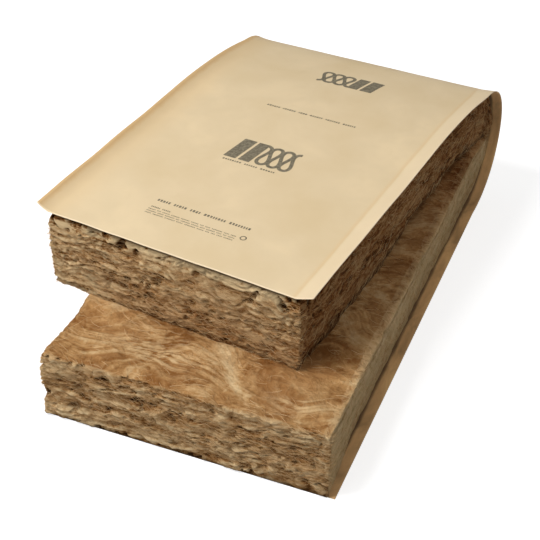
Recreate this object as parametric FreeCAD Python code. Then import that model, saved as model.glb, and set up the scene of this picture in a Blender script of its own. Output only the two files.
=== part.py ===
"""Kraft-faced fiberglass batt, folded once on itself with its kraft facing outside.

Two pieces: the fiberglass blanket, and the kraft facing glued to its outer face,
which runs past the blanket on both sides as stapling flanges. The lower leg lies
on its facing on the floor, and the upper leg lies on the lower one.

The side outline is drawn in the plane X = 0 and drawn out along X, the line of the
fold. Y = 0 is where the round nose of the fold begins, and the legs run to -Y.
The fold is a little out of square, so each leg turns away from Y by FOLD_SKEW.
"""
import FreeCAD
import Part
import math
import os

# Driving dimensions, in millimetres and degrees
BATT_WIDTH = 381.0            # blanket, side to side
FLANGE_WIDTH = 21.5           # the facing runs this far past the blanket on each side
FACING_THICKNESS = 0.5        # kraft paper with its asphalt coat
UPPER_LEG = 580.0             # cut end to the nose, along the middle of the leg
LOWER_LEG = 695.5
UPPER_THICKNESS = 118.0       # at the cut end
LOWER_THICKNESS = 109.5
LEG_GAP = 1.5                 # left open between the two legs
FOLD_SQUEEZE = 7.5            # the nose's radius is this much under half the stack height
FOLD_WALL = 50.5              # blanket between the end of the gap and the outside of the nose
SHOULDER_RADIUS = 1220.0      # where the top starts to bend down to the nose
FOLD_SKEW = 3.45              # half the angle between the legs

# Sizes that follow from them
SKEW = math.radians(FOLD_SKEW)
FACING_WIDTH = BATT_WIDTH + 2.0 * FLANGE_WIDTH
STACK_HEIGHT = LOWER_THICKNESS + LEG_GAP + UPPER_THICKNESS + 2.0 * FACING_THICKNESS
MEETING_HEIGHT = FACING_THICKNESS + LOWER_THICKNESS + 0.5 * LEG_GAP
NOSE_RADIUS = 0.5 * STACK_HEIGHT - FOLD_SQUEEZE
SPAN = UPPER_LEG + LOWER_LEG + FACING_WIDTH      # longer than the part in any direction


def yz(y, z):
    """A point of the side outline."""
    return FreeCAD.Vector(0.0, y, z)


def line(start, end):
    return Part.LineSegment(start, end).toShape()


def arc(centre, radius, first, last):
    """An arc of the side outline, from one angle to another, measured from +Y."""
    def at(angle):
        return centre + yz(radius * math.cos(angle), radius * math.sin(angle))
    return Part.Arc(at(first), at(0.5 * (first + last)), at(last)).toShape()


def start_of(edge):
    return edge.valueAt(edge.FirstParameter)


def end_of(edge):
    return edge.valueAt(edge.LastParameter)


def drawn_out(edges):
    """The solid of a closed side outline, drawn out along X to both sides."""
    face = Part.Face(Part.Wire(edges))
    face.translate(FreeCAD.Vector(-0.5 * SPAN, 0.0, 0.0))
    return face.extrude(FreeCAD.Vector(SPAN, 0.0, 0.0))


def closed(edges):
    """The edges, with a straight one back from the last to the first."""
    return edges + [line(end_of(edges[-1]), start_of(edges[0]))]


def shoulder():
    """Centre of the shoulder arc, which touches the level top and the nose circle."""
    height = STACK_HEIGHT - SHOULDER_RADIUS
    back = math.sqrt((SHOULDER_RADIUS - NOSE_RADIUS) ** 2 - (height - NOSE_RADIUS) ** 2)
    return yz(-back, height)


def outer_top(depth, stop):
    """Top face from far in front to the angle `stop` on the nose, `depth` inside the outline."""
    centre = shoulder()
    nose = yz(0.0, NOSE_RADIUS)
    handover = math.atan2(nose.z - centre.z, nose.y - centre.y)
    bend = arc(centre, SHOULDER_RADIUS - depth, 0.5 * math.pi, handover)
    edges = [line(start_of(bend) - yz(SPAN, 0.0), start_of(bend)), bend]
    if stop < handover:
        edges.append(arc(nose, NOSE_RADIUS - depth, handover, stop))
    return edges


def hairpin(depth):
    """Everything inside the outline, both legs and the nose, `depth` inside its outer face."""
    edges = outer_top(depth, -0.5 * math.pi)
    foot = end_of(edges[-1])
    edges.append(line(foot, foot - yz(SPAN, 0.0)))
    return drawn_out(closed(edges))


def slit():
    """The gap between the legs, with a round end at the crease."""
    half = 0.5 * LEG_GAP
    crease = yz(NOSE_RADIUS - FOLD_WALL, MEETING_HEIGHT)
    tip = arc(crease, half, 0.5 * math.pi, -0.5 * math.pi)
    above = line(crease + yz(-SPAN, half), start_of(tip))
    below = line(end_of(tip), crease + yz(-SPAN, -half))
    return drawn_out(closed([above, tip, below]))


def leg_room(width, length, side):
    """The upright box that a leg fills: `side` is -1 for the upper leg and 1 for the lower."""
    box = Part.makeBox(width, 2.0 * length, 4.0 * STACK_HEIGHT,
                       FreeCAD.Vector(-0.5 * width, -length, -STACK_HEIGHT))
    box.rotate(FreeCAD.Vector(), FreeCAD.Vector(0.0, 0.0, 1.0), side * FOLD_SKEW)
    return box


def nose_room(width):
    """The room of the nose, as wide as the legs where they run into it."""
    across = width / math.cos(SKEW)
    return Part.makeBox(across, SPAN, 4.0 * STACK_HEIGHT,
                        FreeCAD.Vector(-0.5 * across, 0.0, -STACK_HEIGHT))


def trimmed(solid, width):
    """Cut a drawn-out solid to the batt's own skewed sides and square cut ends."""
    before_nose = FreeCAD.Vector(-SPAN, -2.0 * SPAN, 0.0)
    above = Part.makeBox(2.0 * SPAN, 2.0 * SPAN, STACK_HEIGHT,
                         before_nose + FreeCAD.Vector(0.0, 0.0, MEETING_HEIGHT))
    below = Part.makeBox(2.0 * SPAN, 2.0 * SPAN, MEETING_HEIGHT, before_nose)
    upper = solid.common(above).common(leg_room(width, UPPER_LEG, -1.0))
    lower = solid.common(below).common(leg_room(width, LOWER_LEG, 1.0))
    nose = solid.common(nose_room(width))
    return nose.fuse([upper, lower]).removeSplitter()


def fiberglass_blanket():
    return trimmed(hairpin(FACING_THICKNESS), BATT_WIDTH).cut(slit())


def kraft_facing():
    return trimmed(hairpin(0.0).cut(hairpin(FACING_THICKNESS)), FACING_WIDTH)


def main():
    nodes = {"fiberglass_blanket": fiberglass_blanket(), "kraft_facing": kraft_facing()}
    box = Part.makeCompound(list(nodes.values())).BoundBox
    to_origin = FreeCAD.Vector(-box.Center.x, -box.Center.y, -box.ZMin)
    os.makedirs("parts", exist_ok=True)
    for name, shape in nodes.items():
        shape.translate(to_origin)
        solid = shape.Solids[0]
        print(name, len(shape.Solids), "solid", round(solid.Volume), solid.isValid(), solid.BoundBox)
        solid.exportStep(os.path.join("parts", name + ".step"))


main()
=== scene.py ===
"""Kraft-faced fiberglass batt, folded once: the finish of its glass wool and its kraft facing."""

import math

import bpy
import numpy as np
from bpy.props import FloatProperty, FloatVectorProperty, IntProperty, PointerProperty
from mathutils import Matrix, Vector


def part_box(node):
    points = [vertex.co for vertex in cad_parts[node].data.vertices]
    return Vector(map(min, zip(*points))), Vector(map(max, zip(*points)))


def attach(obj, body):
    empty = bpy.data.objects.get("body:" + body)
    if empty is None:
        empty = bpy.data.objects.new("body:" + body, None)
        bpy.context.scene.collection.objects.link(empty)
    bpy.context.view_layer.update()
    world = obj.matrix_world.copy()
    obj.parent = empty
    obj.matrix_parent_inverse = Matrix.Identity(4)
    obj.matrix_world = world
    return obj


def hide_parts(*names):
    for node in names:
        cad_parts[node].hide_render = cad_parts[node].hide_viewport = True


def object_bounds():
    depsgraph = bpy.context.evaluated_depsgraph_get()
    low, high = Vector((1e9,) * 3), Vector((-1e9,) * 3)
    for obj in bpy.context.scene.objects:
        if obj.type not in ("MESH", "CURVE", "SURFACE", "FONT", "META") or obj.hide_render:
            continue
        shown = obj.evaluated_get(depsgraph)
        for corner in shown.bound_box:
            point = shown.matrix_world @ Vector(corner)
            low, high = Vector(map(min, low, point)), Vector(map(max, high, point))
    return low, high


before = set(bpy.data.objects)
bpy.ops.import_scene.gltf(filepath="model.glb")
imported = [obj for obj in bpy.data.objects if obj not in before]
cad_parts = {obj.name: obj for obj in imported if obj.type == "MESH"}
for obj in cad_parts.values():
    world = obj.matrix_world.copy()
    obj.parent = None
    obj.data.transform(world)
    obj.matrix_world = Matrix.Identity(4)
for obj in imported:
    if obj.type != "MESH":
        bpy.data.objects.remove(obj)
CAD_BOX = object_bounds()
FACING_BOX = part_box("kraft_facing")

bl_info = {
    "name": "Kraft-Faced Batt",
    "version": (1, 0, 0),
    "blender": (4, 5, 0),
    "location": "View3D > Sidebar > Batt",
    "description": "Glass wool blanket with a kraft facing, folded once on itself",
    "category": "Object",
}

BODY = "root"
MM = 0.001
CAD_PAPER = 0.5 * MM            # the facing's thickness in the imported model
FLANGE_CREASE_INSET = 4.0 * MM  # the flanges begin this far inside the blanket's edges


# ---------------------------------------------------------------- settings

def length(name, description, default):
    return FloatProperty(name=name, description=description, default=default, unit="LENGTH")


def colour(name, description, default):
    return FloatVectorProperty(name=name, description=description, default=default, subtype="COLOR")


class BattSizes(bpy.types.PropertyGroup):
    """Sizes of the folded batt, the same as those of the construction."""
    batt_width: length("Batt width", "Blanket, side to side", 0.381)
    flange_width: length("Flange width", "Facing past the blanket on each side", 0.0215)
    upper_leg: length("Upper leg", "Cut end to the round nose of the fold", 0.580)
    lower_leg: length("Lower leg", "Cut end to the round nose of the fold", 0.6955)
    lower_thickness: length("Lower thickness", "Blanket of the lower leg", 0.1095)
    leg_gap: length("Leg gap", "Left open between the legs", 0.0015)
    fold_squeeze: length("Fold squeeze", "Nose radius under half the height", 0.0075)
    fold_wall: length("Fold wall", "Blanket behind the end of the gap", 0.0505)
    shoulder_radius: length("Shoulder radius", "Bend of the top down to the nose", 1.22)
    fold_skew: FloatProperty(
        name="Fold skew", description="Half the angle between the legs",
        default=math.radians(3.45), subtype="ANGLE")
    paper: length("Paper", "Thickness of the kraft facing", 0.0006)
    flange_lift: length("Flange lift", "How far the upper flanges stand up", 0.010)
    upper_fluff: length("Upper fluff", "Wool past the nominal side, upper leg", 0.003)
    lower_fluff: length("Lower fluff", "Wool past the nominal side, lower leg", 0.013)


class BattFinish(bpy.types.PropertyGroup):
    """Colours of the batt, and how much loose fibre it has."""
    # painted shade: a near-black stand-in for the shadow in the wool's hollows and between its layers,
    # where it meets the facing and the lower leg, and beside its edges on the facing
    painted_deep_shade: colour("Wool pits", "Deep between the layers", (0.034, 0.013, 0.004))
    wool_brown: colour("Wool brown", "Binder-rich wool", (0.272, 0.112, 0.031))
    wool_tan: colour("Wool tan", "Most of the wool", (0.560, 0.312, 0.124))
    wool_pale: colour("Wool pale", "Loose pale fibre", (0.860, 0.630, 0.350))
    # olive is the pressed wool's own hue; its lightness is painted light on the lower leg's right side
    wool_olive_painted_light: colour("Wool olive", "Smooth pressed wool of an open side", (0.780, 0.580, 0.300))
    wool_rust: colour("Wool rust", "Orange patches of binder", (0.430, 0.215, 0.080))
    # painted shade: multiplied over the wool on the felt near the fold, on the upper leg's sides and low on
    # the right of the upper cut end
    wool_painted_shade: colour("Wool shade", "Darkens the wool nearer the fold", (0.58, 0.39, 0.26))
    kraft: colour("Kraft", "Outside of the facing", (0.760, 0.600, 0.375))
    asphalt: colour("Asphalt side", "Inside of the facing", (0.740, 0.445, 0.195))
    ink: colour("Ink", "Print on the facing", (0.150, 0.128, 0.086))
    end_wisps: FloatProperty(
        name="Wisps", description="Loose fibre tufts for each square metre", default=60000.0)
    seed: IntProperty(
        name="Seed", description="Start of every random choice", default=7)


# ---------------------------------------------------------------- noise

def hashed(cell, seed):
    """A fixed random number from -1 to 1 for each whole-numbered cell."""
    mask = 0xFFFFFFFF
    mixed = (cell[:, 0] * 374761393 + cell[:, 1] * 668265263
             + cell[:, 2] * 2246822519 + seed * 3266489917) & mask
    mixed = ((mixed ^ (mixed >> 13)) * 1274126177) & mask
    return ((mixed ^ (mixed >> 16)) & 0xFFFF) / 32767.5 - 1.0


def noise(points, grain, seed):
    """Smooth noise from about -1 to 1. The grain is in metres: one size, or one for each axis."""
    place = points / np.asarray(grain, dtype=float) + 512.0
    cell = np.floor(place).astype(np.int64)
    part = place - cell
    ease = part ** 3 * (part * (part * 6.0 - 15.0) + 10.0)
    total = np.zeros(len(points))
    for corner in np.ndindex(2, 2, 2):
        slope = [hashed(cell + corner, seed * 3 + axis) for axis in range(3)]
        share = np.prod(np.where(corner, ease, 1.0 - ease), axis=1)
        total += share * sum(slope[axis] * (part[:, axis] - corner[axis]) for axis in range(3))
    return 1.5 * total


def fractal(points, grain, seed, octaves=3):
    """Noise with finer and fainter layers on top."""
    total = np.zeros(len(points))
    for octave in range(octaves):
        total += 0.5 ** octave * noise(points, np.asarray(grain, dtype=float) / 2 ** octave, seed + octave)
    return total


def step_up(value, low, high):
    """0 under low, 1 over high, and smooth between."""
    part = np.clip((value - low) / (high - low), 0.0, 1.0)
    return part * part * (3.0 - 2.0 * part)


# ---------------------------------------------------------------- shape of the fold

class Fold:
    """The folded strip: where a point of the batt lies, in the frame's own metres."""

    def __init__(self, sizes):
        self.half = 0.5 * sizes.batt_width
        self.facing_half = self.half + sizes.flange_width
        self.skew = sizes.fold_skew
        self.legs = {"upper": sizes.upper_leg, "lower": sizes.lower_leg}
        self.turn = {"upper": -1.0, "lower": 1.0}
        self.height = FACING_BOX[1].z
        self.nose = 0.5 * self.height - sizes.fold_squeeze
        self.crease = self.nose - sizes.fold_wall
        self.meeting = CAD_PAPER + sizes.lower_thickness + 0.5 * sizes.leg_gap
        self.gap = sizes.leg_gap
        self.shoulder = sizes.shoulder_radius
        self.shoulder_z = self.height - self.shoulder
        self.shoulder_y = -math.sqrt((self.shoulder - self.nose) ** 2 - (self.shoulder_z - self.nose) ** 2)
        self.handover = math.atan2(self.nose - self.shoulder_z, -self.shoulder_y)
        self.flat = self.legs["upper"] * math.cos(self.skew) + self.shoulder_y
        self.bend = self.shoulder * (0.5 * math.pi - self.handover)
        self.round_nose = self.nose * (self.handover + 0.5 * math.pi)
        self.flange_crease = self.half - FLANGE_CREASE_INSET
        reach = sizes.lower_leg * math.sin(self.skew) + self.facing_half * math.cos(self.skew)
        self.x = FACING_BOX[1].x - reach
        self.y = FACING_BOX[1].y - self.nose
        self.paper = sizes.paper

    def top(self, y):
        """Height of the upper outer face, at y from where the nose begins."""
        drop = np.maximum(self.shoulder ** 2 - (y - self.shoulder_y) ** 2, 0.0)
        on_shoulder = self.shoulder_z + np.sqrt(drop)
        on_nose = self.nose + np.sqrt(np.maximum(self.nose ** 2 - y ** 2, 0.0))
        past = self.nose * math.cos(self.handover)
        bent = np.where(y < past, on_shoulder, on_nose)
        return np.where(y < self.shoulder_y, self.height, bent)

    def bottom(self, y):
        """Height of the lower outer face."""
        return np.where(y < 0.0, 0.0, self.nose - np.sqrt(np.maximum(self.nose ** 2 - y ** 2, 0.0)))

    def on_leg(self, leg, across, nominal):
        """x and y, from the middle of the fold, of a place on a leg. nominal is y along its middle."""
        tilt = self.turn[leg] * math.sin(self.skew)
        share = np.maximum(-nominal, 0.0) / (self.legs[leg] * math.cos(self.skew))
        run = share * (self.legs[leg] - self.turn[leg] * across * math.tan(self.skew))
        x = across / math.cos(self.skew) + tilt * run
        y = np.maximum(nominal, 0.0) - math.cos(self.skew) * run
        return x, y

    def outline(self, travel):
        """Nominal y, height and outward normal of the facing, by distance from the upper cut end."""
        flat, bend, round_nose = self.flat, self.bend, self.round_nose
        turn_1 = 0.5 * math.pi - np.clip(travel - flat, 0.0, bend) / self.shoulder
        turn_2 = self.handover - np.clip(travel - flat - bend, 0.0, round_nose) / self.nose
        first = -self.legs["upper"] * math.cos(self.skew)
        y = first + np.minimum(travel, flat)
        z = np.full_like(travel, self.height)
        angle = np.full_like(travel, 0.5 * math.pi)
        on_shoulder = travel > flat
        on_nose = travel > flat + bend
        arcs = ((on_shoulder, self.shoulder, self.shoulder_y, self.shoulder_z, turn_1),
                (on_nose, self.nose, 0.0, self.nose, turn_2))
        for on_arc, radius, centre_y, centre_z, turn in arcs:
            y = np.where(on_arc, centre_y + radius * np.cos(turn), y)
            z = np.where(on_arc, centre_z + radius * np.sin(turn), z)
            angle = np.where(on_arc, turn, angle)
        rest = travel - flat - bend - round_nose
        y = np.where(rest > 0.0, -rest, y)
        z = np.where(rest > 0.0, 0.0, z)
        return y, z, np.cos(angle), np.sin(angle), on_nose, rest > 0.0

    def length(self):
        """The facing's length along its outline, from one cut end to the other."""
        legs = (self.legs["upper"] + self.legs["lower"]) * math.cos(self.skew) + self.shoulder_y
        return legs + self.bend + self.round_nose

    def facing_point(self, across, travel, proud):
        """A place on the facing's outer face, moved outwards by proud."""
        nominal, z, out_y, out_z, on_nose, lower = self.outline(travel)
        upper_x, upper_y = self.on_leg("upper", across, nominal)
        lower_x, lower_y = self.on_leg("lower", across, nominal)
        x = np.where(lower, lower_x, upper_x)
        y = np.where(lower, lower_y, upper_y)
        z = np.where(on_nose, z, self.top(y))
        return np.stack([self.x + x, self.y + y + out_y * proud, z + out_z * proud], axis=1)


# ---------------------------------------------------------------- meshes

def box_skin(counts):
    """Lattice points and four-sided faces of a closed box, with so many steps along each axis."""
    quads = []
    for axis in range(3):
        one, two = (axis + 1) % 3, (axis + 2) % 3
        i, j = np.meshgrid(np.arange(counts[one]), np.arange(counts[two]), indexing="ij")
        for end in (0, counts[axis]):
            corners = ((0, 0), (1, 0), (1, 1), (0, 1)) if end else ((0, 0), (0, 1), (1, 1), (1, 0))
            quad = np.empty((i.size, 4, 3), dtype=np.int64)
            quad[..., axis] = end
            for n, (di, dj) in enumerate(corners):
                quad[:, n, one] = i.ravel() + di
                quad[:, n, two] = j.ravel() + dj
            quads.append(quad)
    flat = np.concatenate(quads).reshape(-1, 3)
    span = max(counts) + 1
    key = (flat[:, 0] * span + flat[:, 1]) * span + flat[:, 2]
    _, first, back = np.unique(key, return_index=True, return_inverse=True)
    return flat[first], back.reshape(-1, 4)


def normals_of(points, quads):
    """A smooth outward direction at each point, from the faces given."""
    a, b, c, d = (points[quads[:, n]] for n in range(4))
    face = np.cross(c - a, d - b)
    total = np.zeros_like(points)
    for n in range(4):
        np.add.at(total, quads[:, n], face)
    return total / np.maximum(np.linalg.norm(total, axis=1, keepdims=True), 1e-12)


def faces_inward(points, quads):
    """True if a closed skin's faces point inwards."""
    a, b, c = (points[quads[:, n]] for n in (0, 1, 2))
    return float(np.einsum("ij,ij->", a, np.cross(b, c))) < 0.0


def new_piece(name, points, faces, materials, smooth=True):
    """A mesh object at the origin."""
    mesh = bpy.data.meshes.new(name)
    mesh.from_pydata(points.tolist(), [], faces.tolist() if hasattr(faces, "tolist") else faces)
    mesh.update()
    mesh.polygons.foreach_set("use_smooth", [smooth] * len(mesh.polygons))
    for material in materials:
        mesh.materials.append(material)
    piece = bpy.data.objects.new(name, mesh)
    bpy.context.scene.collection.objects.link(piece)
    return piece


def add_field(mesh, name, values):
    """Stores one number, or one vector, at each point of a mesh."""
    kind, key = ("FLOAT_VECTOR", "vector") if values.ndim == 2 else ("FLOAT", "value")
    mesh.attributes.new(name, kind, "POINT").data.foreach_set(key, values.astype(np.float32).ravel())


def declare(piece, node):
    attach(piece, BODY)
    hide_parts(node)


# ---------------------------------------------------------------- materials

def tinted(colour, shares):
    """A colour with each of its channels scaled, and none over 1."""
    return tuple(min(1.0, part * share) for part, share in zip(colour, shares))


class Tree:
    """Short ways to add nodes to self.tree."""

    def add(self, kind, inputs=(), **settings):
        """A node with its settings, and with a value or a link at each input named."""
        node = self.tree.nodes.new(kind)
        for key, value in settings.items():
            setattr(node, key, value)
        for key, value in dict(inputs).items():
            if isinstance(value, bpy.types.NodeSocket):
                self.tree.links.new(value, node.inputs[key])
            else:
                node.inputs[key].default_value = value
        return node

    def math(self, operation, a, b=0.0, c=0.0):
        return self.add("ShaderNodeMath", {0: a, 1: b, 2: c}, operation=operation).outputs[0]

    def times(self, a, b):
        return self.math("MULTIPLY", a, b)

    def scaled(self, value, share, offset):
        """value * share + offset"""
        return self.math("MULTIPLY_ADD", value, share, offset)


class Nodes(Tree):
    """A material's node tree."""

    def __init__(self, name):
        self.material = bpy.data.materials.new(name)
        self.material.use_nodes = True
        self.tree = self.material.node_tree
        self.shader = self.tree.nodes["Principled BSDF"]

    def level(self, name):
        """A number that the mesh stores at each point."""
        return self.add("ShaderNodeAttribute", attribute_name=name).outputs["Fac"]

    def strip(self):
        """Place on the flat strip: across, along and into the wool, in metres."""
        return self.add("ShaderNodeAttribute", attribute_name="strip").outputs["Vector"]

    def place(self):
        return self.add("ShaderNodeTexCoord").outputs["Object"]

    def stretched(self, vector, scale):
        return self.add("ShaderNodeVectorMath", {0: vector, 1: scale}, operation="MULTIPLY").outputs[0]

    def pushed(self, vector, scale, detail, reach):
        """The vector moved by noise, as far as reach along each axis."""
        drift = self.add("ShaderNodeTexNoise", {"Vector": vector, "Scale": scale, "Detail": detail})
        return self.add("ShaderNodeVectorMath", {0: drift.outputs["Color"], 1: reach, 2: vector},
                        operation="MULTIPLY_ADD").outputs[0]

    def noise(self, vector, scale, detail=3.0, rough=0.55, warp=0.0):
        return self.add("ShaderNodeTexNoise", {"Vector": vector, "Scale": scale, "Detail": detail,
                                               "Roughness": rough, "Distortion": warp}).outputs["Fac"]

    def sharpen(self, value, low, high):
        return self.add("ShaderNodeMapRange", {"Value": value, "From Min": low, "From Max": high},
                        interpolation_type="SMOOTHSTEP").outputs["Result"]

    def ramp(self, value, stops):
        node = self.add("ShaderNodeValToRGB", {"Fac": value})
        band = node.color_ramp
        while len(band.elements) < len(stops):
            band.elements.new(0.5)
        for element, (place, colour) in zip(band.elements, stops):
            element.position = place
            element.color = (*colour, 1.0)
        return node.outputs["Color"]

    def blend(self, share, a, b, how="MIX"):
        node = self.add("ShaderNodeMix", data_type="RGBA", blend_type=how, clamp_factor=True)
        for socket, value in ((node.inputs[0], share), (node.inputs[6], a), (node.inputs[7], b)):
            if isinstance(value, bpy.types.NodeSocket):
                self.tree.links.new(value, socket)
            elif socket.type == "RGBA":
                socket.default_value = (*value, 1.0)
            else:
                socket.default_value = value
        return node.outputs[2]

    def finish(self, colour, rough, bump=None, strength=0.5, distance=0.001, specular=0.2):
        self.tree.links.new(colour, self.shader.inputs["Base Color"])
        if isinstance(rough, bpy.types.NodeSocket):
            self.tree.links.new(rough, self.shader.inputs["Roughness"])
        else:
            self.shader.inputs["Roughness"].default_value = rough
        self.shader.inputs["Specular IOR Level"].default_value = specular
        if bump is not None:
            node = self.add("ShaderNodeBump", {"Height": bump, "Strength": strength, "Distance": distance})
            self.tree.links.new(node.outputs["Normal"], self.shader.inputs["Normal"])
        return self.material


def wool_material(finish):
    """Glass wool: layered and pitted where it is cut, felted and swirled on its open face."""
    n = Nodes("glass_wool")
    strip = n.strip()
    relief = n.level("relief")
    pits_and_painted_shade = n.level("pits_and_painted_shade")
    felt = n.level("felt")
    pushed = n.pushed(strip, 15.0, 2.0, (0.030, 0.030, 0.022))
    layers = n.noise(n.stretched(pushed, (0.6, 0.6, 6.0)), 34.0, 5.0, 0.68)
    bands = n.noise(n.stretched(pushed, (0.3, 0.3, 2.6)), 16.0, 2.0, 0.5)
    crumbs = n.noise(n.stretched(pushed, (1.0, 1.0, 1.6)), 150.0, 5.0, 0.75, 0.4)
    threads = n.noise(n.stretched(pushed, (0.7, 0.7, 9.0)), 90.0, 4.0, 0.7)
    cut = n.scaled(layers, 0.85, n.scaled(crumbs, 0.78, -0.32))
    cut = n.math("ADD", n.scaled(bands, 0.50, -0.25), cut)
    # painted shade: where the relief is sunk the cut face tone runs darker, towards near black
    cut = n.math("ADD", n.scaled(relief, 0.50, -0.25), cut)
    cut_tone = n.ramp(cut, ((0.28, finish.painted_deep_shade), (0.39, finish.wool_brown), (0.52, finish.wool_tan),
                            (0.70, finish.wool_pale)))
    whirled = n.pushed(strip, 8.0, 1.0, (0.18, 0.18, 0.0))
    strands = n.noise(n.stretched(whirled, (1.0, 3.0, 1.0)), 38.0, 6.0, 0.64)
    clouds = n.noise(whirled, 11.0, 3.0, 0.55, 0.6)
    tufts = n.noise(strip, 75.0, 4.0, 0.65, 0.8)
    soft = n.scaled(strands, 0.62, n.scaled(clouds, 1.10, -0.54))
    soft = n.math("ADD", n.scaled(tufts, 0.55, -0.275), soft)
    # painted shade: the felt runs a little darker where it is sunk
    soft = n.math("ADD", n.scaled(relief, 0.20, -0.10), soft)
    soft_tone = n.ramp(soft, ((0.16, finish.wool_brown), (0.38, finish.wool_tan), (0.66, finish.wool_pale)))
    patches = n.sharpen(n.noise(strip, 12.0, 2.0, 0.5, 0.4), 0.46, 0.64)
    rusty = n.times(patches, n.sharpen(soft, 0.45, 0.25))
    soft_tone = n.blend(n.times(rusty, 0.55), soft_tone, finish.wool_rust)
    cut_tone = n.blend(n.times(patches, 0.30), cut_tone, finish.wool_rust)
    tone = n.blend(felt, cut_tone, soft_tone)
    # the lower leg's pressed right side: olive wool, made lighter as painted light
    plain = n.ramp(n.scaled(tufts, 0.5, n.times(layers, 0.5)),
                   ((0.32, finish.wool_tan), (0.47, finish.wool_olive_painted_light), (0.66, finish.wool_pale)))
    tone = n.blend(n.level("plain"), tone, plain)
    pale = n.times(n.sharpen(threads, 0.55, 0.72), n.scaled(felt, -0.22, 0.40))
    tone = n.blend(pale, tone, finish.wool_pale)
    # painted highlight: a pale streak along the lower leg's rounded right top edge
    edge = n.times(n.level("painted_highlight"), n.sharpen(tufts, 0.35, 0.60))
    tone = n.blend(edge, tone, finish.wool_pale)
    # painted shade: the wool is multiplied darker where the painted shade field is set, with some tan fibre
    # kept
    painted_shade = n.blend(1.0, tone, finish.wool_painted_shade, "MULTIPLY")
    fibres = n.sharpen(n.scaled(layers, 0.4, n.times(crumbs, 0.6)), 0.50, 0.62)
    painted_shade = n.blend(n.times(fibres, 0.85), painted_shade, finish.wool_tan)
    tone = n.blend(n.level("painted_shade"), tone, painted_shade)
    # paler bits of the texture, which take painted light on the upper cut end and a pale sweep of fibre on
    # the felt
    paler_bits = n.blend(felt, n.sharpen(cut, 0.42, 0.60), n.sharpen(strands, 0.42, 0.62))
    pale_sweep_and_painted_light = n.times(n.level("pale_sweep_and_painted_light"), paler_bits)
    tone = n.blend(pale_sweep_and_painted_light, tone, finish.wool_pale)
    # painted shade: hollows, contact lines and the upper leg's bottom edges are mixed towards near black
    tone = n.blend(n.times(pits_and_painted_shade, 0.85), tone, finish.painted_deep_shade)
    bump = n.math("ADD", n.times(crumbs, 0.7), threads)
    bump = n.scaled(strands, felt, bump)
    return n.finish(tone, 0.95, bump, 1.0, 0.0048, 0.03)


def wisp_material(finish):
    """Loose tufts of glass fibre, each a shade of its own."""
    n = Nodes("glass_fibre_wisp")
    shade = n.level("shade")
    fine = n.noise(n.place(), 900.0, 2.0)
    tone = n.ramp(n.scaled(fine, 0.15, shade),
                  ((0.05, finish.wool_brown), (0.45, finish.wool_tan), (0.95, finish.wool_pale)))
    return n.finish(tone, 0.85, fine, 0.3, 0.0005, 0.1)


def kraft_material(finish, fold):
    """Outside of the facing: smooth, faintly mottled kraft paper, creased where the flanges begin, with
    painted shade along the right crease, painted light on the right flange and a painted highlight along
    its right and front edges.
    """
    n = Nodes("kraft_outside")
    strip = n.strip()
    parts = n.add("ShaderNodeSeparateXYZ", {0: strip})
    cloudy = n.noise(strip, 9.0, 3.0, 0.55, 0.3)
    mottle = n.noise(strip, 70.0, 4.0, 0.6)
    fibre = n.noise(n.stretched(strip, (1.0, 0.12, 1.0)), 1400.0, 3.0, 0.6)
    pale = tinted(finish.kraft, (1.10, 1.10, 1.10))
    deep = tinted(finish.kraft, (0.95, 0.93, 0.88))
    tone = n.ramp(cloudy, ((0.30, deep), (0.52, finish.kraft), (0.75, pale)))
    tone = n.blend(n.times(n.sharpen(mottle, 0.45, 0.75), 0.20), tone, deep)
    tone = n.blend(n.times(n.sharpen(fibre, 0.50, 0.80), 0.16), tone, pale)
    wobble = n.scaled(cloudy, 5.0 * MM, parts.outputs["X"])
    # darker, more orange kraft, used towards the left edge and along the right crease
    darker_kraft = tinted(finish.kraft, (0.96, 0.82, 0.62))
    left = n.sharpen(n.scaled(cloudy, -0.03, parts.outputs["X"]), -0.165, -0.225)
    tone = n.blend(n.times(left, 0.35), tone, darker_kraft)
    # darker still in the last few millimetres of the left edge
    deep_edge_kraft = tinted(finish.kraft, (0.86, 0.66, 0.42))
    edge = n.sharpen(n.scaled(mottle, 7.0 * MM, parts.outputs["X"]), -0.198, -0.206)
    tone = n.blend(n.times(edge, 0.62), tone, deep_edge_kraft)
    crease = fold.flange_crease
    # painted shade: a darker band along the right flange's crease
    before = n.sharpen(wobble, crease - 5.0 * MM, crease + 1.0 * MM)
    after = n.sharpen(wobble, crease + 3.5 * MM, crease + 1.0 * MM)
    tone = n.blend(n.times(n.times(before, after), 0.38), tone, darker_kraft)
    # painted light: the right flange, past its crease, is made paler and cooler, as if it faced the lamps
    light = tinted(finish.kraft, (1.12, 1.15, 1.25))
    flange = n.sharpen(wobble, crease + 1.0 * MM, crease + 5.0 * MM)
    tone = n.blend(n.times(flange, 0.40), tone, light)
    # painted highlight: a pale line along the facing's right edge and along its front edge at the upper cut
    # end
    rim = n.sharpen(parts.outputs["X"], fold.facing_half - 4.0 * MM, fold.facing_half - 1.0 * MM)
    rim = n.math("MAXIMUM", rim, n.sharpen(parts.outputs["Y"], 3.5 * MM, 1.0 * MM))
    tone = n.blend(n.times(rim, 0.75), tone, tinted(light, (1.12, 1.12, 1.12)))
    rough = n.scaled(mottle, 0.18, 0.52)
    bump = n.scaled(mottle, 0.6, fibre)
    return n.finish(tone, rough, bump, 0.22, 0.0006, 0.35)


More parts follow.
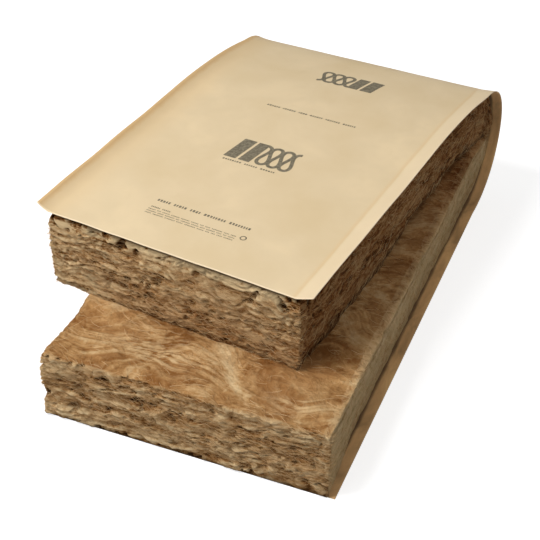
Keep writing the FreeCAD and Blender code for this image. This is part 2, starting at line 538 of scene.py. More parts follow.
def asphalt_material(finish, fold):
    """Inside of the facing: kraft turned brown by its asphalt coat, with fibre stuck to it, and a band of
    painted shade beside the wool's long edges.
    """
    n = Nodes("kraft_asphalt_side")
    strip = n.strip()
    soak = n.noise(n.stretched(strip, (1.0, 0.35, 1.0)), 34.0, 4.0, 0.6, 0.5)
    hairs = n.noise(n.stretched(strip, (1.0, 0.3, 1.0)), 420.0, 3.0, 0.7)
    dark = tinted(finish.asphalt, (0.62, 0.62, 0.62))
    light = tinted(finish.asphalt, (1.45, 1.45, 1.45))
    tone = n.ramp(soak, ((0.32, dark), (0.52, finish.asphalt), (0.78, light)))
    tone = n.blend(n.times(n.sharpen(hairs, 0.58, 0.78), 0.5), tone, finish.wool_tan)
    aside = n.math("ABSOLUTE", n.add("ShaderNodeSeparateXYZ", {0: strip}).outputs["X"])
    wobble = n.scaled(soak, 6.0 * MM, aside)
    # painted shade: a near-black band on the facing's inside along the wool's long edges, standing in for
    # the shadow under the wool's sides
    tar = n.sharpen(wobble, fold.half + 11.0 * MM, fold.half + 6.5 * MM)
    tone = n.blend(n.times(tar, 0.70), tone, finish.painted_deep_shade)
    return n.finish(tone, n.scaled(soak, 0.3, 0.45), hairs, 0.5, 0.0012, 0.3)


def ink_material(finish):
    """Grey print, thin enough for the paper's grain to show."""
    n = Nodes("facing_ink")
    worn = n.noise(n.place(), 260.0, 4.0, 0.7)
    pale = tinted(finish.ink, (2.4, 2.4, 2.4))
    tone = n.ramp(worn, ((0.40, finish.ink), (0.80, pale)))
    return n.finish(tone, 0.6, worn, 0.2, 0.0003, 0.25)


# ---------------------------------------------------------------- blanket

ACROSS_STEPS = 250
THROUGH_STEPS = 78
FOLD_ROWS = 20
# rows packed into the cut end, the run they cover, and rows over the rest of the leg
LEG_ROWS = {"upper": (30, 0.045, 95), "lower": (62, 0.135, 70)}
EDGE_ROUNDING = {"upper": 7.0 * MM, "lower": 13.0 * MM}
END_UNDER_PAPER = {"upper": -3.5 * MM, "lower": 1.2 * MM}
SIDE_UNDER_PAPER = -4.0 * MM
POCKET_GAPE = 21.0 * MM


def leg_skin(rows):
    """Lattice places and faces of half the blanket: fine where wool shows, plain under the facing."""
    last, deep = ACROSS_STEPS, THROUGH_STEPS
    cells, quads = box_skin((last, rows, deep))
    at = {tuple(cell): n for n, cell in enumerate(cells.tolist())}
    hidden = np.all(cells[quads, 2] == 0, axis=1) | np.all(cells[quads, 1] == rows, axis=1)
    faces = quads[~hidden]
    covers = [[at[0, j, 0], at[0, j + 1, 0], at[last, j + 1, 0], at[last, j, 0]]
              for j in range(1, rows - 1)]
    front = [at[i, 0, 0] for i in range(last, -1, -1)]
    covers.append([at[0, 1, 0], at[last, 1, 0]] + front)
    back = [at[i, rows, 0] for i in range(last + 1)]
    covers.append([at[0, rows - 1, 0]] + back + [at[last, rows - 1, 0]])
    seam = [at[0, rows, k] for k in range(deep)] + [at[i, rows, deep] for i in range(last)]
    seam += [at[last, rows, k] for k in range(deep, 0, -1)] + [at[i, rows, 0] for i in range(last, 0, -1)]
    covers.append(seam)
    used = np.unique(np.concatenate([faces.ravel()] + [np.array(cover) for cover in covers]))
    renamed = np.full(len(cells), -1)
    renamed[used] = np.arange(len(used))
    return cells[used], renamed[faces], [renamed[cover].tolist() for cover in covers]


def leg_rows(leg, straight):
    """Distance of each lattice row from the cut end, up to the fold, then its share of the fold's turn."""
    fine, run, coarse = LEG_ROWS[leg]
    near = np.linspace(0.0, run, fine + 1)
    far = np.linspace(run, straight, coarse + 1)[1:]
    turned = np.full(FOLD_ROWS, straight)
    turn = np.concatenate([np.zeros(fine + coarse + 1), np.linspace(0.0, 1.0, FOLD_ROWS + 1)[1:]])
    return np.concatenate([near, far, turned]), turn


def side_swell(sizes, leg, across, through, travel, turn):
    """How far the wool stands past its nominal side: slumped on the lower leg, squeezed out at the fold."""
    belly = np.sin(math.pi * np.clip(0.08 + 0.84 * through, 0.0, 1.0))
    if leg == "upper":
        return sizes.upper_fluff * (0.6 + 0.8 * belly) + 5.0 * MM * turn
    leaning = 0.25 + 0.75 * step_up(through, 0.0, 0.75)
    leaning += 0.90 * (1.0 - leaning) * (1.0 - step_up(travel, 0.0, 0.16))
    slumped = 1.40 - 0.20 * through
    return sizes.lower_fluff * np.where(across > 0.0, leaning, slumped) * (1.0 - 0.15 * turn)


def pocket(across, nominal):
    """The gape between the legs at their sides, a hand's width before the fold."""
    near_side = step_up(np.abs(across), 0.45, 1.0)
    near_fold = step_up(nominal, -0.330, -0.170) * (1.0 - step_up(nominal, -0.060, 0.050))
    return POCKET_GAPE * near_side * near_fold


def leg_lattice(fold, sizes, leg):
    """The plain shape of one half of the blanket, up to the middle of the nose."""
    straight = fold.legs[leg] * math.cos(fold.skew) + fold.crease
    travel_at, turn_at = leg_rows(leg, straight)
    cells, quads, covers = leg_skin(len(travel_at) - 1)
    across = 2.0 * cells[:, 0] / ACROSS_STEPS - 1.0
    through = cells[:, 2] / THROUGH_STEPS
    travel, turn = travel_at[cells[:, 1]], turn_at[cells[:, 1]]
    nominal = travel - fold.legs[leg] * math.cos(fold.skew)
    u = across * (fold.half + side_swell(sizes, leg, across, through, travel, turn))
    x, y = fold.on_leg(leg, u, nominal)
    sign = -fold.turn[leg]
    outer = fold.top(y) - fold.paper if leg == "upper" else fold.bottom(y) + fold.paper
    inner = fold.meeting + sign * 0.5 * fold.gap
    if leg == "upper":
        inner = inner + pocket(across, nominal)
    z = outer + (inner - outer) * through
    heading = np.stack([np.sin(0.5 * math.pi * turn), np.cos(0.5 * math.pi * turn) * sign], axis=1)
    to_nose = np.array([fold.crease, fold.meeting - fold.nose])
    dot = heading @ to_nose
    wall = -dot + np.sqrt(dot ** 2 + (fold.nose - fold.paper) ** 2 - to_nose @ to_nose)
    radius = wall + (0.5 * fold.gap - wall) * through
    z = np.where(turn > 0.0, fold.meeting + radius * heading[:, 1], z)
    y = np.where(turn > 0.0, fold.crease + radius * heading[:, 0], y)
    points = np.stack([fold.x + x, fold.y + y, z], axis=1)
    depth = np.where(turn > 0.0, wall, np.abs(outer - inner)) * through
    strip = np.stack([u, sign * (travel + 0.15 * turn - straight), depth], axis=1)
    return points, strip, cells, quads, covers, through, turn


def round_inner_edges(fold, leg, points, strip, through, turn):
    """Rounds the long inner edges of a leg, where loose wool has no corner."""
    radius = EDGE_ROUNDING[leg]
    thick = (strip[:, 2] / np.maximum(through, 0.01)).max()
    edge = np.abs(strip[:, 0]).max()
    side = np.clip((np.abs(strip[:, 0]) - (edge - radius)) / radius, 0.0, 1.0)
    rise = np.clip((strip[:, 2] - (thick - radius)) / radius, 0.0, 1.0)
    larger = np.maximum(side, rise)
    pull = np.where(larger > 0.0, 1.0 - larger / np.maximum(np.hypot(side, rise), 1e-9), 0.0) * (1.0 - turn)
    points[:, 0] -= np.sign(strip[:, 0]) * side * pull * radius
    points[:, 2] += fold.turn[leg] * -1.0 * rise * pull * radius


def wool_relief(strip, seed):
    """The wool's relief on a cut face and on its felted face, in metres, and where it is pitted; the tone
    fields later darken these hollows as painted shade.
    """
    sway = fractal(strip, (0.110, 0.110, 0.060), seed, 2)
    swirl = noise(strip, (0.050, 0.050, 0.034), seed + 4)
    shift = np.stack([0.020 * swirl, 0.006 * swirl, 0.012 * sway + 0.011 * swirl], axis=1)
    bent = strip + shift
    shelves = 1.0 - 2.2 * np.abs(noise(bent, (0.130, 0.130, 0.0135), seed + 10))
    layers = fractal(bent, (0.058, 0.058, 0.0052), seed + 14, 2)
    lumps = fractal(strip, 0.022, seed + 20, 2)
    crumbs = noise(bent, (0.0080, 0.0080, 0.0042), seed + 30)
    loose = step_up(noise(bent, (0.140, 0.140, 0.026), seed + 36), -0.30, 0.30)
    holes = noise(bent, (0.0105, 0.0105, 0.0050), seed + 40) + 0.30 * layers
    pits_and_painted_shade = step_up(holes, 0.16, 0.46) * (0.25 + 0.75 * loose)
    slits = step_up(layers, 0.42, 0.80)
    felted = fractal(strip, (0.075, 0.060, 0.060), seed + 50, 3)
    combed = strip + 0.016 * np.stack([felted, swirl, felted], axis=1)
    strands = 1.0 - 2.0 * np.abs(noise(combed, (0.050, 0.011, 0.020), seed + 60))
    rough = (2.6 * shelves + 2.6 * layers + 2.4 * lumps + 1.6 * crumbs - 7.5 * pits_and_painted_shade - 3.5 * slits) * MM
    soft = (5.0 * felted + 1.3 * strands + 0.8 * lumps) * MM
    return rough, soft, np.maximum(pits_and_painted_shade, 0.7 * slits)


def make_blanket_half(fold, sizes, leg, seed, material):
    points, strip, cells, quads, covers, through, turn = leg_lattice(fold, sizes, leg)
    round_inner_edges(fold, leg, points, strip, through, turn)
    if leg == "upper":
        quads = quads[:, ::-1]
        covers = [cover[::-1] for cover in covers]
    away = normals_of(points, quads)
    inward = -fold.turn[leg]
    cut = np.clip(-away[:, 1], 0.0, 1.0) * (cells[:, 1] == 0)
    felt = np.clip(-inward * away[:, 2], 0.0, 1.0) * (through > 0.5) * (1.0 - cut)
    side = np.clip(np.abs(away[:, 0]), 0.0, 1.0) * (1.0 - cut)
    rough, soft, pits_and_painted_shade = wool_relief(strip, seed)
    pressed = side * step_up(strip[:, 0], 0.0, 0.1) * (leg == "lower") * (1.0 - step_up(turn, 0.0, 0.7))
    stand = cut * (rough + 1.0 * MM) + felt * soft * (1.0 - turn)
    stand += side * ((0.50 - 0.38 * pressed) * rough + 0.3 * soft)
    held = step_up(strip[:, 2], 0.0, 4.0 * MM)
    tucked = END_UNDER_PAPER[leg] * cut * (1.0 - step_up(strip[:, 2], 2.0 * MM, 6.0 * MM))
    tucked += SIDE_UNDER_PAPER * side * (1.0 - step_up(strip[:, 2], 1.0 * MM, 7.0 * MM))
    points += away * (stand * held + tucked)[:, None]
    points[:, 2] = np.maximum(points[:, 2], fold.paper)
    piece = new_piece("blanket_" + leg, points, quads.tolist() + covers, [material])
    fields = tone_fields(fold, leg, strip, through, turn, cut, felt, side, pressed, pits_and_painted_shade)
    fields.update(wisp_fields(through, turn, cut, felt, side))
    fields.update(strip=strip, relief=np.clip(0.5 + stand / (12.0 * MM), 0.0, 1.0),
                  felt=np.clip(felt, 0.0, 1.0), out=away)
    for name, values in fields.items():
        add_field(piece.data, name, values)
    return piece


def tone_fields(fold, leg, strip, through, turn, cut, felt, side, pressed, pits_and_painted_shade):
    """Where the wool gets painted shade in its hollows, along the facing, under the upper leg and near the
    fold, olive colour with painted light where it is pressed plain, a painted highlight on its edge, a pale
    sweep of fibre on the felt and painted light on the upper cut end, from 0 to 1.
    """
    across, depth = strip[:, 0], strip[:, 2]
    # painted shade: the cut ends and sides darken within a few millimetres of the facing, standing in for
    # the shadow where the wool meets the paper
    painted_contact_shade = (1.0 - step_up(depth, 2.0 * MM, 7.5 * MM)) * np.clip(cut + side - 0.45 * pressed, 0.0, 1.0)
    # painted shade: the hollows of the cut ends and sides are darkened, standing in for the shadow inside
    # them
    dark = pits_and_painted_shade * np.clip(cut + 0.6 * side - 0.5 * pressed, 0.0, 1.0)
    # painted shade: the felt darkens towards the fold, under the upper leg
    near_fold = 1.0 - step_up(np.abs(strip[:, 1]), 0.05, 0.50)
    painted_shade = 0.75 * felt * near_fold
    if leg == "upper":
        # painted shade: the upper leg's sides and cut end darken along their bottom edges, standing in for
        # the shadow where it sits on the lower leg
        under_side = 0.80 * side * step_up(through, 0.84, 1.0)
        under_end = 0.60 * cut * step_up(through, 0.92, 1.0)
        dark = np.maximum(dark, np.maximum(under_side, under_end))
        # painted shade: the upper cut end darkens towards its bottom and right, and the upper leg's sides
        # darken all over
        shaded = cut * step_up(depth, 0.030, 0.100) * step_up(across, -0.18, 0.06)
        painted_shade = painted_shade + 0.70 * side + 0.60 * shaded
        # painted light: the upper cut end turns paler towards its top and its left side, where the key
        # light falls
        painted_light_top_and_left = np.exp(-(depth / (20.0 * MM)) ** 2) + 0.85 * step_up(-across, 0.04, 0.17)
        pale_sweep_and_painted_light = cut * np.clip(1.2 * painted_light_top_and_left, 0.0, 1.0)
    else:
        from_end = np.abs(strip[:, 1]).max() - np.abs(strip[:, 1])
        # a pale sweep and a tuft of fibre on the lower leg's felted top, the wool's own colour
        sweep = np.exp(-((across + 0.045) / 0.085) ** 2 - ((from_end - 0.062) / 0.026) ** 2)
        tuft = np.exp(-((across - 0.145) / 0.030) ** 2 - ((from_end - 0.040) / 0.022) ** 2)
        pale_sweep_and_painted_light = felt * np.clip(0.75 * sweep + 0.75 * tuft, 0.0, 1.0)
    # painted highlight along the rounded top edge of the lower leg's right side
    painted_highlight = np.exp(-((through - 0.93) / 0.07) ** 2) * (across > fold.half) * (leg == "lower")
    return {"pits_and_painted_shade": np.maximum(dark, painted_contact_shade), "plain": 0.8 * pressed, "painted_shade": painted_shade,
            "pale_sweep_and_painted_light": pale_sweep_and_painted_light, "painted_highlight": painted_highlight * (1.0 - step_up(turn, 0.0, 0.6))}


def wisp_fields(through, turn, cut, felt, side):
    """How thick, how long and how pale the loose fibre is at each point."""
    shown = (through > 0.14) & (turn < 0.97)
    return {"wisps": np.clip(cut + 0.05 * felt + 0.25 * side, 0.0, 1.0) * shown,
            "wisp_length": 0.018 * cut + 0.030 * felt + 0.016 * side,
            "wisp_tone": 0.25 * cut + 0.45 * felt + 0.32 * side}


# ---------------------------------------------------------------- loose fibre, by Geometry Nodes

class WispTree(Tree):
    """Geometry Nodes: bent tufts of fibre scattered over the blanket, by its fields."""

    def __init__(self):
        self.tree = bpy.data.node_groups.new("fibre_wisps", "GeometryNodeTree")
        face = self.tree.interface
        face.new_socket("Geometry", in_out="INPUT", socket_type="NodeSocketGeometry")
        for name in ("Density", "Thickness", "Lift", "Spread"):
            face.new_socket(name, in_out="INPUT", socket_type="NodeSocketFloat")
        face.new_socket("Seed", in_out="INPUT", socket_type="NodeSocketInt")
        face.new_socket("Material", in_out="INPUT", socket_type="NodeSocketMaterial")
        face.new_socket("Geometry", in_out="OUTPUT", socket_type="NodeSocketGeometry")
        self.given = self.tree.nodes.new("NodeGroupInput").outputs
        self.build()

    def field(self, name, kind="FLOAT"):
        node = self.add("GeometryNodeInputNamedAttribute", {"Name": name}, data_type=kind)
        return node.outputs["Attribute"]

    def random(self, low, high, seed):
        node = self.add("FunctionNodeRandomValue", {2: low, 3: high, "Seed": seed}, data_type="FLOAT")
        return node.outputs[1]

    def tuft(self):
        """The line of one bent tuft, a unit long."""
        arc = self.add("GeometryNodeCurveQuadraticBezier",
                       {"Resolution": 4, "Start": (-0.5, 0.0, -0.30), "Middle": (0.05, 0.45, 1.30),
                        "End": (0.5, -0.10, -0.30)})
        return arc.outputs["Curve"]

    def turned(self):
        """Level along the batt's width, flat on the wool, swung by a random angle."""
        align = "FunctionNodeAlignRotationToVector"
        upright = self.add(align, {"Vector": self.field("out", "FLOAT_VECTOR")}, axis="Z")
        level = self.add(align, {"Rotation": upright.outputs[0], "Vector": (1.0, 0.0, 0.0)},
                         axis="X", pivot_axis="Z")
        swing = self.times(self.random(-1.0, 1.0, 3), self.given["Spread"])
        spin = self.add("FunctionNodeAxisAngleToRotation", {"Axis": (0.0, 0.0, 1.0), "Angle": swing})
        both = {"Rotation": level.outputs[0], "Rotate By": spin.outputs[0]}
        return self.add("FunctionNodeRotateRotation", both, rotation_space="LOCAL").outputs[0]

    def build(self):
        given = self.given
        dense = self.times(given["Density"], self.field("wisps"))
        scatter = self.add("GeometryNodeDistributePointsOnFaces",
                           {"Mesh": given["Geometry"], "Density": dense, "Seed": given["Seed"]})
        long = self.times(self.random(0.45, 1.45, 5), self.field("wisp_length"))
        bow = self.times(long, self.random(-1.0, 1.0, 7))
        lift = self.times(self.random(0.4, 1.3, 9), given["Lift"])
        scale = self.add("ShaderNodeCombineXYZ", {"X": long, "Y": bow, "Z": lift}).outputs[0]
        placed = self.add("GeometryNodeInstanceOnPoints",
                          {"Points": scatter.outputs["Points"], "Instance": self.tuft(),
                           "Rotation": self.turned(), "Scale": scale})
        tone = self.scaled(self.random(0.0, 1.0, 11), 0.55, self.field("wisp_tone"))
        shaded = self.add("GeometryNodeStoreNamedAttribute",
                          {"Geometry": placed.outputs["Instances"], "Name": "shade", "Value": tone},
                          data_type="FLOAT", domain="INSTANCE")
        lines = self.add("GeometryNodeRealizeInstances", {"Geometry": shaded.outputs[0]}).outputs[0]
        share = self.add("GeometryNodeSplineParameter").outputs["Factor"]
        swell = self.math("SINE", self.times(share, math.pi))
        wide = self.scaled(swell, 0.85, 0.15)
        ring = self.add("GeometryNodeCurvePrimitiveCircle", {"Resolution": 3, "Radius": given["Thickness"]})
        profile = {"Curve": lines, "Profile Curve": ring.outputs["Curve"], "Fill Caps": True}
        tube = self.add("GeometryNodeCurveToMesh", profile)
        self.tree.links.new(wide, tube.inputs["Scale"])
        real = self.add("GeometryNodeRealizeInstances", {"Geometry": tube.outputs["Mesh"]})
        dressed = self.add("GeometryNodeSetMaterial",
                           {"Geometry": real.outputs[0], "Material": given["Material"]})
        out = self.tree.nodes.new("NodeGroupOutput")
        self.tree.links.new(dressed.outputs[0], out.inputs[0])


BLANKET_FIELDS = ("strip", "relief", "pits_and_painted_shade", "felt", "plain", "painted_highlight", "painted_shade", "pale_sweep_and_painted_light",
                  "wisps", "wisp_length", "wisp_tone", "out")
WISP_SHAPE = {"Thickness": 0.24 * MM, "Lift": 1.3 * MM, "Spread": 0.8}
FLOOR_EASE = 2.0 * MM           # loose fibre flattens over this height instead of passing the floor


def scatter_wisps(host, tree, name, material, inputs):
    """Runs the tree on the host and keeps its result as a plain mesh."""
    modifier = host.modifiers.new("wisps", "NODES")
    modifier.node_group = tree
    sockets = {item.name: item.identifier for item in tree.interface.items_tree if item.in_out == "INPUT"}
    for key, value in inputs.items():
        modifier[sockets[key]] = value
    modifier[sockets["Material"]] = material
    graph = bpy.context.evaluated_depsgraph_get()
    mesh = bpy.data.meshes.new_from_object(host.evaluated_get(graph))
    host.modifiers.remove(modifier)
    for extra in BLANKET_FIELDS:
        if extra in mesh.attributes:
            mesh.attributes.remove(mesh.attributes[extra])
    points = np.empty(3 * len(mesh.vertices))
    mesh.vertices.foreach_get("co", points)
    height = points[2::3]
    points[2::3] = np.where(height < FLOOR_EASE, FLOOR_EASE * np.exp(height / FLOOR_EASE - 1.0), height)
    mesh.vertices.foreach_set("co", points)
    piece = bpy.data.objects.new(name, mesh)
    bpy.context.scene.collection.objects.link(piece)
    return piece


# ---------------------------------------------------------------- facing

def facing_proud(fold, across, travel, lift, seed):
    """How far the paper stands out from its plain outline: creases, lifted flanges, curled edges."""
    place = np.stack([across, travel, np.zeros_like(travel)], axis=1)
    ripple = 0.5 * MM * noise(place, (0.16, 0.24, 1.0), seed) + 0.2 * MM * noise(place, 0.05, seed + 1)
    upper_end = fold.legs["upper"]
    nose_end = fold.length() - fold.legs["lower"] * math.cos(fold.skew)
    crease = fold.flange_crease
    flange = np.clip((np.abs(across) - crease) / (fold.facing_half - crease), 0.0, 1.0)
    standing = 1.0 - step_up(travel, upper_end - 0.12, upper_end + 0.06)
    wave = 1.0 + 0.22 * noise(place, (1.0, 0.11, 1.0), seed + 2)
    curl = np.where(across > 0.0, flange ** 1.1, flange ** 2.0)
    raised = lift * curl * (0.25 + 0.75 * standing) * wave
    on_floor = step_up(travel, nose_end - 0.11, nose_end - 0.02)
    front = 1.4 * MM * np.exp(-travel / 0.014) * noise(place, (0.055, 1.0, 1.0), seed + 3)
    return np.maximum(raised + ripple + front, -0.3 * MM) * (1.0 - on_floor)


def facing_lattice(fold):
    """Where the facing's lattice lines lie: close at the flange creases and at the upper cut end."""
    crease = fold.flange_crease
    flange = np.linspace(crease, fold.facing_half, 9)
    across = np.concatenate([-flange[::-1], np.linspace(-crease, crease, 71)[1:-1], flange])
    front = np.linspace(0.0, 0.030, 16)
    travel = np.concatenate([front, np.linspace(0.030, fold.length(), 310)[1:]])
    return across, travel


def make_facing(fold, sizes, seed, outside, inside):
    across_at, travel_at = facing_lattice(fold)
    cells, quads = box_skin((len(across_at) - 1, len(travel_at) - 1, 1))
    across, travel = across_at[cells[:, 0]], travel_at[cells[:, 1]]
    inner = cells[:, 2] == 1
    proud = facing_proud(fold, across, travel, sizes.flange_lift, seed)
    points = fold.facing_point(across, travel, proud - fold.paper * inner)
    points[:, 2] = np.maximum(points[:, 2], 0.0)
    if faces_inward(points, quads):
        quads = quads[:, ::-1]
    piece = new_piece("facing", points, quads, [outside, inside])
    paper_side = np.all(cells[quads, 2] == 1, axis=1)
    piece.data.polygons.foreach_set("material_index", paper_side.astype(np.int32))
    add_field(piece.data, "strip", np.stack([across, travel, fold.paper * inner], axis=1))
    return piece


# ---------------------------------------------------------------- print

class Printer:
    """Collects flat shapes on the facing, in metres across and from the upper cut end."""

    def __init__(self):
        self.points = []
        self.faces = []

    def patch(self, corners, steps=(1, 1)):
        """A four-cornered patch, divided so that it can follow the paper."""
        start = len(self.points)
        a, b, c, d = (np.array(corner, dtype=float) for corner in corners)
        for i in range(steps[0] + 1):
            for j in range(steps[1] + 1):
                s, t = i / steps[0], j / steps[1]
                self.points.append((1 - s) * (1 - t) * a + s * (1 - t) * b + s * t * c + (1 - s) * t * d)
        row = steps[1] + 1
        for i in range(steps[0]):
            for j in range(steps[1]):
                at = start + i * row + j
                self.faces.append((at, at + row, at + row + 1, at + 1))

    def stroke(self, path, width):
        """A band of even width along a path of points."""
        path = np.array(path)
        heading = np.gradient(path, axis=0)
        heading /= np.linalg.norm(heading, axis=1, keepdims=True)
        aside = np.stack([-heading[:, 1], heading[:, 0]], axis=1) * 0.5 * width
        start = len(self.points)
        for left, right in zip(path + aside, path - aside):
            self.points.extend((left, right))
        for n in range(len(path) - 1):
            at = start + 2 * n
            self.faces.append((at, at + 1, at + 3, at + 2))


def hatch_path(centre, width, height, loops, turned):
    """The drafting sign for batt insulation: a band of round loops."""
    path = []
    count = 40 * loops
    for n in range(count + 1):
        share = n / count
        angle = 2.0 * math.pi * loops * share
        u = (share - 0.5) * width + 0.30 * width / loops * math.sin(2.0 * angle)
        s = 0.5 * height * math.cos(angle)
        path.append((centre[0] + turned * u, centre[1] + turned * s))
    return path


def ring_path(centre, radius):
    turns = np.linspace(0.0, 2.0 * math.pi, 25)
    return np.stack([centre[0] + radius * np.cos(turns), centre[1] + radius * np.sin(turns)], axis=1)


def print_badge(printer, centre, width, height, turned):
    """Two leaning grey bars beside a row of insulation loops."""
    u, s = centre

    def place(x, y):
        return (u + turned * x * width, s + turned * y * height)

    lean = 0.07
    for left, right in ((-0.50, -0.31), (-0.27, -0.10)):
        foot = place(left, -0.5), place(right, -0.5)
        head = place(right + lean, 0.5), place(left + lean, 0.5)
        printer.patch(foot + head, (3, 6))
    printer.stroke(hatch_path(place(0.22, 0.0), 0.52 * width, 0.88 * height, 3, turned), 5.6 * MM)


def print_line(printer, middle, travel, width, height, random, turned=1.0):
    """A line of short equal bars in groups, standing where a printed line would."""
    ticks = []
    at = 0.0
    while at < width:
        for _ in range(random.integers(3, 9)):
            thick = height * random.uniform(0.34, 0.62)
            ticks.append((at, thick))
            at += thick + 0.34 * height
        at += 0.95 * height
    stretch = width / at
    for start, thick in ticks:
        left = middle + turned * (start * stretch - 0.5 * width)
        right = left + turned * thick * stretch
        far = travel + turned * 0.72 * height
        printer.patch(((left, travel), (right, travel), (right, far), (left, far)))


def make_print(fold, sizes, seed, material):
    random = np.random.default_rng(seed)
    printer = Printer()
    print_badge(printer, (-0.006, 0.266), 0.104, 0.054, 1.0)
    print_line(printer, -0.010, 0.2305, 0.089, 4.6 * MM, random)
    print_badge(printer, (0.006, 0.524), 0.102, 0.040, -1.0)
    print_line(printer, 0.0, 0.3975, 0.152, 5.2 * MM, random, -1.0)
    print_line(printer, -0.003, 0.0955, 0.152, 6.6 * MM, random)
    print_line(printer, -0.062, 0.0795, 0.034, 3.6 * MM, random)
    for row in range(3):
        print_line(printer, -0.010, 0.0650 + row * 4.6 * MM, 0.140, 2.5 * MM, random)
    printer.stroke(ring_path((0.0675, 0.0765), 4.0 * MM), 1.6 * MM)
    flat = np.array(printer.points)
    proud = facing_proud(fold, flat[:, 0], flat[:, 1], sizes.flange_lift, seed)
    points = fold.facing_point(flat[:, 0], flat[:, 1], proud + 0.15 * MM)
    return new_piece("facing_print", points, printer.faces, [material])


# ---------------------------------------------------------------- operators

def settings():
    scene = bpy.context.scene
    return scene.batt_sizes, scene.batt_finish, Fold(scene.batt_sizes)


class BATT_OT_blanket(bpy.types.Operator):
    """Make the glass wool blanket, in two halves that meet in the nose of the fold"""
    bl_idname = "batt.blanket"
    bl_label = "Blanket"

    def execute(self, context):
        sizes, finish, fold = settings()
        material = wool_material(finish)
        for leg, step in (("upper", 0), ("lower", 100)):
            piece = make_blanket_half(fold, sizes, leg, finish.seed + step, material)
            declare(piece, "fiberglass_blanket")
        return {"FINISHED"}


class BATT_OT_wisps(bpy.types.Operator):
    """Scatter loose tufts of fibre over the blanket's cut ends, open face and sides"""
    bl_idname = "batt.wisps"
    bl_label = "Loose fibre"

    def execute(self, context):
        sizes, finish, fold = settings()
        material = wisp_material(finish)
        tree = WispTree().tree
        for leg in ("upper", "lower"):
            host = bpy.data.objects.get("blanket_" + leg)
            if host is None:
                raise RuntimeError("make the blanket before its loose fibre")
            inputs = {"Density": finish.end_wisps, "Seed": finish.seed, **WISP_SHAPE}
            piece = scatter_wisps(host, tree, "wisps_" + leg, material, inputs)
            declare(piece, "fiberglass_blanket")
        return {"FINISHED"}


class BATT_OT_facing(bpy.types.Operator):
    """Make the kraft facing with its two stapling flanges"""
    bl_idname = "batt.facing"
    bl_label = "Facing"

    def execute(self, context):
        sizes, finish, fold = settings()
        outside, inside = kraft_material(finish, fold), asphalt_material(finish, fold)
        piece = make_facing(fold, sizes, finish.seed, outside, inside)
        declare(piece, "kraft_facing")
        fold.length()
        return {"FINISHED"}


class BATT_OT_print(bpy.types.Operator):
    """Lay plain grey print on the facing: loops, bars and a ring, with no lettering"""
    bl_idname = "batt.print"
    bl_label = "Print"

    def execute(self, context):
        sizes, finish, fold = settings()
        piece = make_print(fold, sizes, finish.seed, ink_material(finish))
        declare(piece, "kraft_facing")
        return {"FINISHED"}


CAMERA_PLACE = (0.6540, -1.4468, 1.2685)
CAMERA_AZIMUTH = math.radians(25.09)
CAMERA_ELEVATION = math.radians(38.21)
CAMERA_ROLL = math.radians(0.46)
CAMERA_LENS = 87.1
FLOOR_REACH = 30.0
FLOOR_GREY = 0.62
FLOOR_GLOW = 0.72
AMBIENT = 0.25
WHITE = (1.0, 1.0, 1.0, 1.0)
# name, place, size across in metres, power in watts
LAMPS = (("key", (-1.0, -1.1, 2.6), 1.1, 57.0), ("overhead", (1.1, 0.3, 2.6), 1.1, 8.0),
         ("fill", (-1.4, -2.9, 1.2), 1.6, 19.0))


class BATT_OT_stage(bpy.types.Operator):
    """Set the floor, the soft lights and the camera"""
    bl_idname = "batt.stage"
    bl_label = "Stage"

    def execute(self, context):
        make_floor()
        make_world()
        make_lights()
        make_camera()
        context.scene.view_settings.view_transform = "Standard"
        return {"FINISHED"}


def make_floor():
    corners = ((-1.0, -1.0), (1.0, -1.0), (1.0, 1.0), (-1.0, 1.0))
    points = np.array([(x * FLOOR_REACH, y * FLOOR_REACH, 0.0) for x, y in corners])
    n = Nodes("pale_floor")
    diffuse = n.add("ShaderNodeBsdfDiffuse", {"Color": (FLOOR_GREY, FLOOR_GREY, FLOOR_GREY, 1.0)})
    glow = n.add("ShaderNodeEmission", {"Color": WHITE, "Strength": seen(n, FLOOR_GLOW)})
    both = n.add("ShaderNodeAddShader", {0: diffuse.outputs[0], 1: glow.outputs[0]})
    n.tree.links.new(both.outputs[0], n.tree.nodes["Material Output"].inputs["Surface"])
    floor = new_piece("floor", points, [(0, 1, 2, 3)], [n.material], smooth=False)


def seen(nodes, strength):
    """The strength for what is looked at straight, in gloss or through glass, and 0 for other light."""
    rays = nodes.add("ShaderNodeLightPath")
    any_of = nodes.math("MAXIMUM", rays.outputs["Is Camera Ray"], rays.outputs["Is Glossy Ray"])
    any_of = nodes.math("MAXIMUM", any_of, rays.outputs["Is Transmission Ray"])
    return nodes.times(any_of, strength)


def make_world():
    world = bpy.data.worlds.new("studio")
    world.use_nodes = True
    bpy.context.scene.world = world
    tree = world.node_tree
    rays = tree.nodes.new("ShaderNodeLightPath")
    strength = tree.nodes.new("ShaderNodeMath")
    strength.operation = "MULTIPLY_ADD"
    strength.inputs[1].default_value = 1.0 - AMBIENT
    strength.inputs[2].default_value = AMBIENT
    tree.links.new(rays.outputs["Is Camera Ray"], strength.inputs[0])
    background = tree.nodes["Background"]
    background.inputs["Color"].default_value = WHITE
    tree.links.new(strength.outputs[0], background.inputs["Strength"])


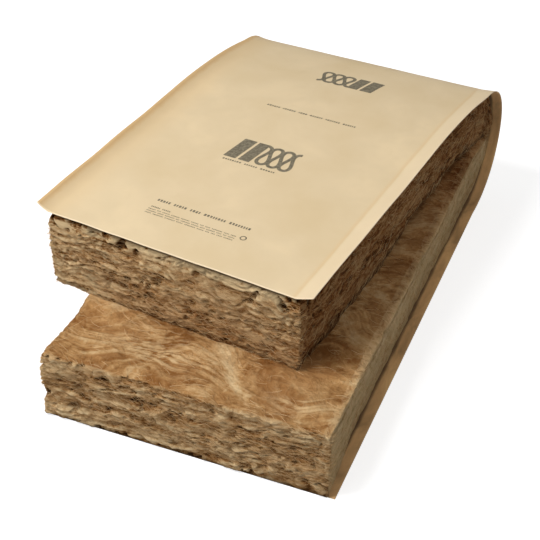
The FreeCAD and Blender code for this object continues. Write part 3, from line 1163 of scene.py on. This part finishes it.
def make_lights():
    for name, place, size, power in LAMPS:
        data = bpy.data.lights.new(name, "AREA")
        data.shape = "DISK"
        data.size = size
        data.energy = power
        lamp = bpy.data.objects.new(name, data)
        bpy.context.scene.collection.objects.link(lamp)
        lamp.location = place
        aim = CAD_BOX[0].lerp(CAD_BOX[1], 0.5) - lamp.location
        lamp.rotation_euler = aim.to_track_quat("-Z", "Y").to_euler()


def make_camera():
    data = bpy.data.cameras.new("camera")
    data.lens = CAMERA_LENS
    data.sensor_width = 36.0
    camera = bpy.data.objects.new("camera", data)
    bpy.context.scene.collection.objects.link(camera)
    camera.location = CAMERA_PLACE
    camera.rotation_mode = "XYZ"
    turn = (Matrix.Rotation(CAMERA_AZIMUTH, 4, "Z")
            @ Matrix.Rotation(0.5 * math.pi - CAMERA_ELEVATION, 4, "X")
            @ Matrix.Rotation(CAMERA_ROLL, 4, "Z"))
    camera.rotation_euler = turn.to_euler("XYZ")
    bpy.context.scene.camera = camera


class BATT_PT_panel(bpy.types.Panel):
    """Lists the batt's sizes, colours and pieces"""
    bl_label = "Kraft-faced batt"
    bl_space_type = "VIEW_3D"
    bl_region_type = "UI"
    bl_category = "Batt"

    def draw(self, context):
        for group in (context.scene.batt_sizes, context.scene.batt_finish):
            for name in group.__annotations__:
                self.layout.prop(group, name)
        for operator in OPERATORS:
            self.layout.operator(operator.bl_idname)


OPERATORS = (BATT_OT_blanket, BATT_OT_wisps, BATT_OT_facing, BATT_OT_print, BATT_OT_stage)
CLASSES = (BattSizes, BattFinish, *OPERATORS, BATT_PT_panel)


def register():
    for cls in CLASSES:
        bpy.utils.register_class(cls)
    bpy.types.Scene.batt_sizes = PointerProperty(type=BattSizes)
    bpy.types.Scene.batt_finish = PointerProperty(type=BattFinish)


def unregister():
    del bpy.types.Scene.batt_finish
    del bpy.types.Scene.batt_sizes
    for cls in reversed(CLASSES):
        bpy.utils.unregister_class(cls)


def main():
    register()
    bpy.ops.batt.blanket()
    bpy.ops.batt.wisps()
    bpy.ops.batt.facing()
    bpy.ops.batt.print()
    bpy.ops.batt.stage()


if __name__ == "__main__":
    main()
